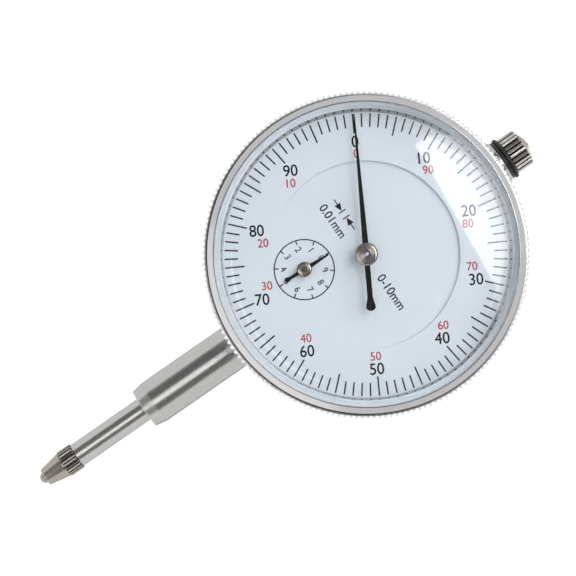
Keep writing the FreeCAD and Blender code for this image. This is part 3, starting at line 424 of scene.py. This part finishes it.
def make_case():
    shell = lathe("case_shell", soften([
        (24.2, -6.5), (26.4, -6.5), (27.0, -5.9), (27.0, 4.2), (26.0, 4.2), (26.0, 5.3),
        (25.5, 5.3), (25.5, 6.1), (26.0, 6.1), (26.0, 7.7), (1.3, 7.7), (1.3, 6.4),
        (24.2, 6.4), (24.2, -6.5)], 0.25), front, CASE, LARGE)
    ride_as(shell, "case", "case_body")
    stem = lathe("clamping_stem", soften([
        (2.5, -23.4), (3.2, -23.4), (3.2, -26.6), (3.8, -26.6), (3.8, -28.2), (4.0, -28.2),
        (4.0, -45.1), (3.6, -47.2), (3.0, -47.2), (3.0, -41.2), (2.5, -41.2), (2.5, -23.4)],
        0.15), line, STEM, MIDDLE)
    ride_as(stem, "case", "stem")
    collar = lathe("top_collar", soften([
        (2.2, 23.4), (3.2, 23.4), (3.2, 26.6), (3.97, 26.6), (3.97, 29.2), (3.77, 29.4),
        (2.2, 29.4), (2.2, 23.4)], 0.12), line, STEM, MIDDLE)
    ride_as(collar, "case", "upper_bush")


# ---- spindle ------------------------------------------------------------------------------

FLUTES = 24  # on the contact point and on the lifting cap


def make_spindle():
    shaft = lathe("spindle_shaft", soften([
        (0, -61.7), (2.15, -61.7), (2.15, 29.45), (1.6, 29.45), (1.6, 33.4), (0, 33.4)], 0.1),
        line, SHAFT, SMALL)
    ride_as(shaft, "spindle", "spindle")


def make_tip():
    collar = lathe("contact_tip_collar", soften([
        (1.3, -64.5), (2.3, -64.4), (2.45, -64.25), (2.45, -61.85), (2.3, -61.7), (0, -61.7)],
        0.05), line, TIP_KNURL, FLUTES * 12, vee(FLUTES, 0.17, 0.33, 2.28))
    ride_as(collar, "spindle", "contact_point")
    cone = lathe("contact_tip_cone", soften([
        (0, -68.4), (1.55, -68.4), (2.28, -64.5), (2.2, -64.35), (0, -64.35)], 0.12),
        line, NICKEL, SMALL)
    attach(cone, "spindle")


def make_cap():
    barrel = lathe("lifting_knob", soften([
        (1.6, 30.7), (3.3, 30.7), (3.45, 30.85), (3.45, 33.88), (3.3, 34.02), (2.9, 34.05)],
        0.06), line, CAP_KNURL, FLUTES * 16, vee(FLUTES, 0.32, 0.42, 3.1))
    ride_as(barrel, "spindle", "lifting_cap")
    crown = lathe("lifting_knob_crown", soften([
        (0, 33.9), (3.1, 33.9), (3.12, 34.05), (1.2, 34.87), (0, 35.15)], 0.12),
        line, NICKEL, SMALL)
    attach(crown, "spindle")
    washer = lathe("rubber_washer", soften([
        (1.6, 29.45), (3.7, 29.45), (3.7, 30.0), (3.55, 30.05), (3.55, 30.12), (3.95, 30.17),
        (3.95, 30.5), (3.75, 30.7), (1.6, 30.7), (1.6, 29.45)], 0.08), line, RUBBER, MIDDLE)
    ride_as(washer, "spindle", "cap_washer")


# ---- bezel --------------------------------------------------------------------------------

KNURL_TEETH = 174
TOOTH_STEPS = 8
DOME_RINGS = 12
ROUND_RINGS = 6


def make_bezel():
    ring = lathe("knurled_bezel", soften([
        (26.05, 4.4), (27.9, 4.4), (28.4, 4.9), (28.4, 8.4), (27.95, 8.9), (27.66, 8.9),
        (27.64, 8.5), (27.37, 8.5), (27.35, 8.9), (27.35, 12.0), (26.35, 12.7), (26.25, 12.7),
        (26.25, 8.3), (25.2, 8.3), (25.2, 7.9), (26.05, 7.9), (26.05, 4.4)], 0.1),
        front, CHROME, KNURL_TEETH * TOOTH_STEPS, vee(KNURL_TEETH, 0.42, 0.2, 27.9))
    ride_as(ring, "bezel", "bezel_ring")
    dome = [(25.0, 8.8), (26.2, 8.8), (26.2, 12.9)]
    for step in range(1, ROUND_RINGS):
        angle = math.pi / 2 * step / ROUND_RINGS
        dome.append((24.95 + 1.25 * math.cos(angle), 12.9 + 1.1 * math.sin(angle)))
    for step in range(DOME_RINGS + 1):
        share = 1 - step / DOME_RINGS
        dome.append((24.95 * share, 14.9 - 0.9 * share ** 2))
    for step in range(DOME_RINGS, -1, -1):
        share = 1 - step / DOME_RINGS
        dome.append((24.8 * share, 13.9 - 0.9 * share ** 2))
    dome += [(24.93, 12.93), (24.99, 12.75), (25.0, 12.5), (25.0, 8.8)]
    glass = lathe("acrylic_crystal", dome, front, CLEAR, LARGE)
    ride_as(glass, "bezel", "crystal")


# ---- printing -----------------------------------------------------------------------------

LETTERS = {}  # text -> its points and faces
BOLD = 0.011  # how far the letters' outlines are pushed out, as a share of the font's size
NARROW = 0.93  # the printing's letters are narrower than the font's
TEXT_STEPS = 6


def thicken(spots, faces):
    """Push the outline of flat, upward faces outwards."""
    sides = {side for face in faces for side in zip(face, face[1:] + face[:1])}
    outward = {}
    for a, b in sides:
        if (b, a) not in sides:
            along = (spots[b] - spots[a]).normalized()
            for end in (a, b):
                outward.setdefault(end, []).append(Vector((along.y, -along.x)))
    moved = list(spots)
    for index, ways in outward.items():
        if len(ways) == 2:
            mitre = (ways[0] + ways[1]) / max(1 + ways[0].dot(ways[1]), 0.5)
            moved[index] = spots[index] + mitre * BOLD
    return moved


def letters(text):
    """Flat mesh of some text from the built-in font, one unit high, centred."""
    if text in LETTERS:
        return LETTERS[text]
    curve = bpy.data.curves.new("letters", "FONT")
    curve.body = text
    curve.resolution_u = TEXT_STEPS
    item = bpy.data.objects.new("letters", curve)
    bpy.context.scene.collection.objects.link(item)
    graph = bpy.context.evaluated_depsgraph_get()
    mesh = bpy.data.meshes.new_from_object(item.evaluated_get(graph))
    faces = [tuple(face.vertices) for face in mesh.polygons]
    spots = thicken([v.co.to_2d() for v in mesh.vertices], faces)
    low = Vector([min(spot[i] for spot in spots) for i in range(2)])
    high = Vector([max(spot[i] for spot in spots) for i in range(2)])
    tall = high.y - low.y
    points = [tuple((spot - (low + high) / 2) / tall) for spot in spots]
    bpy.data.objects.remove(item)
    bpy.data.curves.remove(curve)
    bpy.data.meshes.remove(mesh)
    LETTERS[text] = (points, faces)
    return LETTERS[text]


def add_text(bm, place, text, x, y, z, height):
    points, faces = letters(text)
    verts = [bm.verts.new(place(x + px * height * NARROW, y + py * height, z))
             for px, py in points]
    for face in faces:
        bm.faces.new([verts[index] for index in face])


def add_bar(bm, place, start, end, width, z):
    """Flat bar from one point to another."""
    along = Vector(end) - Vector(start)
    side = Vector((-along.y, along.x)).normalized() * width / 2
    corners = [Vector(start) + side, Vector(end) + side, Vector(end) - side,
               Vector(start) - side]
    bm.faces.new([bm.verts.new(place(c.x, c.y, z)) for c in corners])


def add_ring(bm, place, radius, width, z):
    """Flat circular line."""
    rings = []
    for r in (radius - width / 2, radius + width / 2):
        rings.append([bm.verts.new(place(
            *direction(360 * step / SMALL) * r, z)) for step in range(SMALL)])
    for step in range(SMALL):
        after = (step + 1) % SMALL
        bm.faces.new([rings[0][step], rings[0][after], rings[1][after], rings[1][step]])


def printed(name, bm, material, body):
    item = new_object(name, bm, material, smooth=False)
    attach(item, body)


def direction(angle):
    """Unit vector at some degrees clockwise from up."""
    return Vector((math.sin(math.radians(angle)), math.cos(math.radians(angle))))


PRINT_LIFT = 0.012  # mm from the dial to its printing
TICKS = 100
TICKS_TO_LONG = 5
TICK_OUTER = 24.75
TICK_SHORT = 22.1
TICK_LONG = 21.05
TICK_WIDE = 0.26
BLACK_TALL = 2.04
RED_TALL = 1.52
# Centres of the numbers with zero at the top: x, y from the dial's centre.
BLACK_SPOTS = ((0, 19.66), (11.6, 15.72), (18.4, 5.92), (18.55, -6.0), (11.7, -15.57),
               (0, -19.77), (-11.7, -15.57), (-18.55, -6.0), (-18.4, 5.92), (-11.6, 15.72))
RED_SPOTS = ((0, 17.58), (12.1, 13.6), (18.05, 3.7), (18.05, -3.7), (12.1, -13.34),
             (0, -17.58), (-11.7, -13.34), (-17.5, -3.7), (-17.5, 3.7), (-11.7, 13.55))


def print_outer_dial():
    """A hundred ticks, black numbers round one way and red ones the other."""
    place = turned_about(ZERO_TURN)
    level = RING_FACE + PRINT_LIFT
    bm = bmesh.new()
    for step in range(TICKS):
        way = direction(360 / TICKS * step)
        inner = TICK_SHORT if step % TICKS_TO_LONG else TICK_LONG
        add_bar(bm, place, way * inner, way * TICK_OUTER, TICK_WIDE, level)
    for tens, (x, y) in enumerate(BLACK_SPOTS):
        add_text(bm, place, str(tens * 10), x, y, level, BLACK_TALL)
    printed("outer_dial_black", bm, INK, "bezel")
    bm = bmesh.new()
    for tens, (x, y) in enumerate(RED_SPOTS):
        add_text(bm, place, str((10 - tens) % 10 * 10), x, y, level, RED_TALL)
    printed("outer_dial_red", bm, RED_INK, "bezel")


# Text, its centre from the dial's centre, and its height.
LEGENDS = (("0-10mm", 7.8, 0.01, 1.62), ("0.01mm", -8.05, -1.34, 1.58))
LEGEND_LINE = 0.2
ARROW_HALF = 0.6
SUB_RADIUS = 5.2
SUB_TICK = 0.75
SUB_NUMBER_RADIUS = 3.6
SUB_NUMBER_TALL = 1.16
SUB_LINE = 0.21


def print_inner_dial():
    """Range, division and the millimetre counter's circle."""
    level = INNER_FACE + PRINT_LIFT
    bm = bmesh.new()
    for text, x, y, height in LEGENDS:
        add_text(bm, front, text, x, y, level, height)
    for bar in (-8.5, -7.3):
        add_bar(bm, front, (bar, 0.2), (bar, 1.64), LEGEND_LINE, level)
    middle = 0.92
    for tail, head, tip in ((-11.0, -9.97, -8.6), (-4.7, -5.83, -7.2)):
        add_bar(bm, front, (tail, middle), (head, middle), LEGEND_LINE, level)
        corners = ((head, middle + ARROW_HALF), (head, middle - ARROW_HALF), (tip, middle))
        bm.faces.new([bm.verts.new(front(x, y, level)) for x, y in corners])
    place = at_counter()
    add_ring(bm, place, SUB_RADIUS, SUB_LINE, level)
    for digit in range(10):
        way = direction(-36 * digit)
        add_bar(bm, place, way * (SUB_RADIUS - SUB_TICK), way * SUB_RADIUS, SUB_LINE, level)
        spot = way * SUB_NUMBER_RADIUS
        add_text(bm, place, str(digit), spot.x, spot.y, level, SUB_NUMBER_TALL)
    printed("inner_dial_black", bm, INK, "case")


# ---- hands --------------------------------------------------------------------------------

BOSS_BORE = 0.85
EDGE_SHARE = 0.25  # bevel of a hand's edges as a share of its thickness


def make_blade(name, half_outline, disc, place, low, thick, body, node_name):
    """Flat hand from half its outline, from tip to tail, with a disc at the boss."""
    bm = bmesh.new()
    points = list(half_outline)
    points += [(-x, y) for x, y in reversed(half_outline) if x > 0]
    for side in (low, low + thick):
        bm.faces.new([bm.verts.new(place(x, y, side)) for x, y in points])
    bm.verts.ensure_lookup_table()
    count = len(points)
    for index in range(count):
        after = (index + 1) % count
        bm.faces.new([bm.verts[index], bm.verts[after], bm.verts[count + after],
                      bm.verts[count + index]])
    blade = new_object(name, bm, BLACK, smooth=False)
    edge = blade.modifiers.new("soft_edges", "BEVEL")
    edge.width = thick * EDGE_SHARE * MM
    edge.segments = 2
    ride_as(blade, body, node_name)
    boss = lathe(name + "_boss", soften([
        (BOSS_BORE, low), (disc, low), (disc, low + thick), (BOSS_BORE, low + thick),
        (BOSS_BORE, low)], 0.04), place, BLACK, SMALL)
    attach(boss, body)


def make_hands():
    make_blade("main_pointer", (
        (0.0, 24.45), (0.1, 24.3), (0.53, 1.4), (0.47, -1.4), (0.47, -7.4), (0.62, -8.1),
        (0.80, -8.8), (0.83, -9.2), (0.6, -9.55), (0.0, -9.8)), 1.7,
        turned_about(MAIN_HAND_TURN), 10.75, 0.15, "centre_arbor", "main_hand")
    hub = lathe("main_pointer_hub", soften([
        (0.6, 9.9), (1.1, 9.9), (1.1, 10.9), (2.0, 10.9), (2.0, 11.22), (1.72, 11.48),
        (1.56, 11.5), (1.4, 11.36), (1.22, 11.5), (1.1, 11.5), (0.94, 11.36), (0.82, 11.44),
        (0.6, 11.2), (0.6, 9.9)], 0.03), front, HUB, MIDDLE)
    ride_as(hub, "centre_arbor", "main_hand_hub")
    make_blade("counter_pointer", (
        (0.0, 4.97), (0.12, 4.9), (0.38, 0.8), (0.28, -0.8), (0.28, -2.9), (0.4, -3.3),
        (0.44, -3.6), (0.32, -3.8), (0.0, -3.9)), 1.05,
        at_counter(SMALL_HAND_TURN), 9.0, 0.12, "counter_arbor", "small_hand")
    hub = lathe("counter_pointer_hub", soften([
        (0.5, 8.45), (0.8, 8.45), (0.8, 9.12), (1.3, 9.12), (1.3, 9.34), (1.1, 9.53),
        (0.98, 9.55), (0.84, 9.43), (0.7, 9.53), (0.5, 9.36), (0.5, 8.45)], 0.03),
        at_counter(), HUB, SMALL)
    ride_as(hub, "counter_arbor", "small_hand_hub")


# ---- the rest of the CAD ------------------------------------------------------------------

def finish_cad_nodes():
    """Give every carried-over node its own finish."""
    finishes = {
        BRASS: ("movement_plate", "rear_bridge", "plate_pillars", "bridge_pillars",
                "transfer_wheel", "counter_wheel", "transfer_collet", "counter_collet",
                "hairspring_collet", "lower_bush", "centre_bush", "transfer_bush",
                "counter_bush", "hairspring_stud"),
        STEEL: ("guide_plate", "spring_post", "transfer_pinion", "centre_pinion",
                "counter_arbor", "guide_pin", "guide_sleeve"),
        SPRING: ("bezel_spring", "hairspring", "return_spring"),
        SCREW: ("back_cover_screws", "plate_screws", "bridge_screws", "guide_screws"),
        CASE: ("back_cover",),
        FACE: ("inner_dial", "dial_ring"),
        BALL: ("contact_ball",),
    }
    for material, names in finishes.items():
        for name in names:
            for place in NODES[name].material_slots:
                place.material = material


# ---- camera, light and floor --------------------------------------------------------------

AIM = front(0, 0, 12)  # middle of the crystal
VIEW_DISTANCE = 400 * MM
ROLL = 34.73  # degrees from the picture's right to the spindle's line
VIEW_CENTRE = (-13.47, -5.8)  # mm from the aim to the picture's middle
VIEW_TILT = 1.03  # degrees that the view is from below the picture's middle
FRAME_WIDE = 98.7993 * MM  # what the picture takes in at the crystal
SENSOR = 36.0


def image_axes():
    """World directions of the picture's right and up, and back towards the camera."""
    angle = math.radians(ROLL)
    up_axis = Vector((0, 0, 1))
    across = Vector((1, 0, 0))
    right = up_axis * math.cos(angle) + across * math.sin(angle)
    up = up_axis * math.sin(angle) - across * math.cos(angle)
    return right, up, Vector((0, -1, 0))


def make_camera():
    right, up, back = image_axes()
    lean = math.tan(math.radians(VIEW_TILT))
    back, up = (back - up * lean).normalized(), (up + back * lean).normalized()
    data = bpy.data.cameras.new("camera")
    data.sensor_width = SENSOR
    data.lens = VIEW_DISTANCE / FRAME_WIDE * SENSOR
    camera = bpy.data.objects.new("camera", data)
    target = AIM + (right * VIEW_CENTRE[0] + up * VIEW_CENTRE[1]) * MM
    camera.rotation_mode = "QUATERNION"
    camera.location = target + back * VIEW_DISTANCE
    turn = Matrix((right, up, back)).transposed()
    camera.rotation_quaternion = turn.to_quaternion()
    bpy.context.scene.collection.objects.link(camera)
    bpy.context.scene.camera = camera


def add_lamp(name, place, wide, tall, power):
    """Rectangular soft lamp aimed at the crystal."""
    data = bpy.data.lights.new(name, "AREA")
    data.shape = "RECTANGLE"
    data.size = wide
    data.size_y = tall
    data.energy = power
    lamp = bpy.data.objects.new(name, data)
    lamp.location = place
    lamp.rotation_mode = "QUATERNION"
    lamp.rotation_quaternion = (AIM - place).to_track_quat("-Z", "Y")
    bpy.context.scene.collection.objects.link(lamp)
    return lamp


TENT = (
    # cosine of the angle from the middle of the tent's opening, brightness
    (-1.0, 0.28), (-0.90, 0.40), (-0.74, 0.78), (0.50, 0.80), (0.61, 0.13), (1.0, 0.08))
TENT_AXIS = (-0.087, -1.0, 0.0)
SEEN_WHITE = 1.05


def make_tent():
    """Light tent: white round the sides, dim room behind the opening."""
    world = bpy.data.worlds.new("studio")
    world.use_nodes = True
    tree = world.node_tree
    link = tree.links.new
    place = node(tree, "TexCoord")
    facing = node(tree, "VectorMath", operation="DOT_PRODUCT")
    facing.inputs[1].default_value = Vector(TENT_AXIS).normalized()
    link(place.outputs["Generated"], facing.inputs[0])
    tent = tree.nodes["Background"]
    link(grey_ramp(tree, facing.outputs["Value"], TENT), tent.inputs["Color"])
    seen = node(tree, "Background", Color=(1, 1, 1, 1), Strength=SEEN_WHITE)
    rays = node(tree, "LightPath")
    mix = node(tree, "MixShader")
    link(rays.outputs["Is Camera Ray"], mix.inputs[0])
    link(tent.outputs[0], mix.inputs[1])
    link(seen.outputs[0], mix.inputs[2])
    link(mix.outputs[0], tree.nodes["World Output"].inputs["Surface"])
    bpy.context.scene.world = world
    bpy.context.scene.view_settings.view_transform = "Standard"


def around(azimuth):
    """Unit vector in the picture's plane, at an azimuth anticlockwise from its right."""
    right, up, _ = image_axes()
    return right * math.cos(math.radians(azimuth)) + up * math.sin(math.radians(azimuth))


def towards(azimuth, tilt, far):
    """Point seen from the dial at an azimuth in the picture and a tilt from straight ahead."""
    back = image_axes()[2]
    tilt = math.radians(tilt)
    return AIM + (back * math.cos(tilt) + around(azimuth) * math.sin(tilt)) * far


def turn_lamp(lamp, azimuth):
    """Turn a lamp about its beam so its width runs along an azimuth of the picture."""
    away = (lamp.location - AIM).normalized()
    tall = away.cross(around(azimuth)).normalized()
    wide = tall.cross(away)
    lamp.rotation_quaternion = Matrix((wide, tall, away)).transposed().to_quaternion()


LAMPS = (
    # name, azimuth, tilt, distance m, width m, height m, power W, azimuth of its width
    ("key", 22, 21.3, 0.75, 0.25, 0.27, 0.86, 29),
    ("key_spill", 42, 22.2, 0.78, 0.26, 0.32, 0.24, 34),
    ("strip", ROLL + 180, 17.5, 0.7, 0.30, 0.12, 0.3, ROLL + 90),
    ("top", ROLL, 46, 0.7, 0.5, 0.5, 1.35, None),
    ("left", 195, 70, 0.6, 0.30, 0.30, 0.45, None))
REAR_PLACE = (0.3, 0.7, 0.35)
REAR_WIDE = 0.5
REAR_POWER = 0.8


def make_lamps():
    for name, azimuth, tilt, far, wide, tall, power, across in LAMPS:
        lamp = add_lamp(name, towards(azimuth, tilt, far), wide, tall, power)
        if across is not None:
            turn_lamp(lamp, across)
    add_lamp("rear", Vector(REAR_PLACE), REAR_WIDE, REAR_WIDE, REAR_POWER)


FLOOR_RADIUS = 0.22
FLOOR_DROP = 125  # mm below the contact point's ball
FLOOR_GLOW = 0.2


def make_floor():
    bm = bmesh.new()
    bmesh.ops.create_circle(bm, cap_ends=True, radius=FLOOR_RADIUS, segments=SMALL)
    pale = coated("pale_floor", (0.93, 0.93, 0.93), 0.8, 60, 0.0, 0.005)
    shader = pale.node_tree.nodes["Principled BSDF"]
    shader.inputs["Emission Color"].default_value = (1, 1, 1, 1)
    shader.inputs["Emission Strength"].default_value = FLOOR_GLOW
    floor = new_object("floor", bm, pale, smooth=False)
    floor.location.z = (TIP_Z - FLOOR_DROP) * MM


make_camera()
make_tent()
make_lamps()
make_floor()
make_case()
make_spindle()
make_tip()
make_cap()
make_bezel()
print_outer_dial()
print_inner_dial()
make_hands()
finish_cad_nodes()
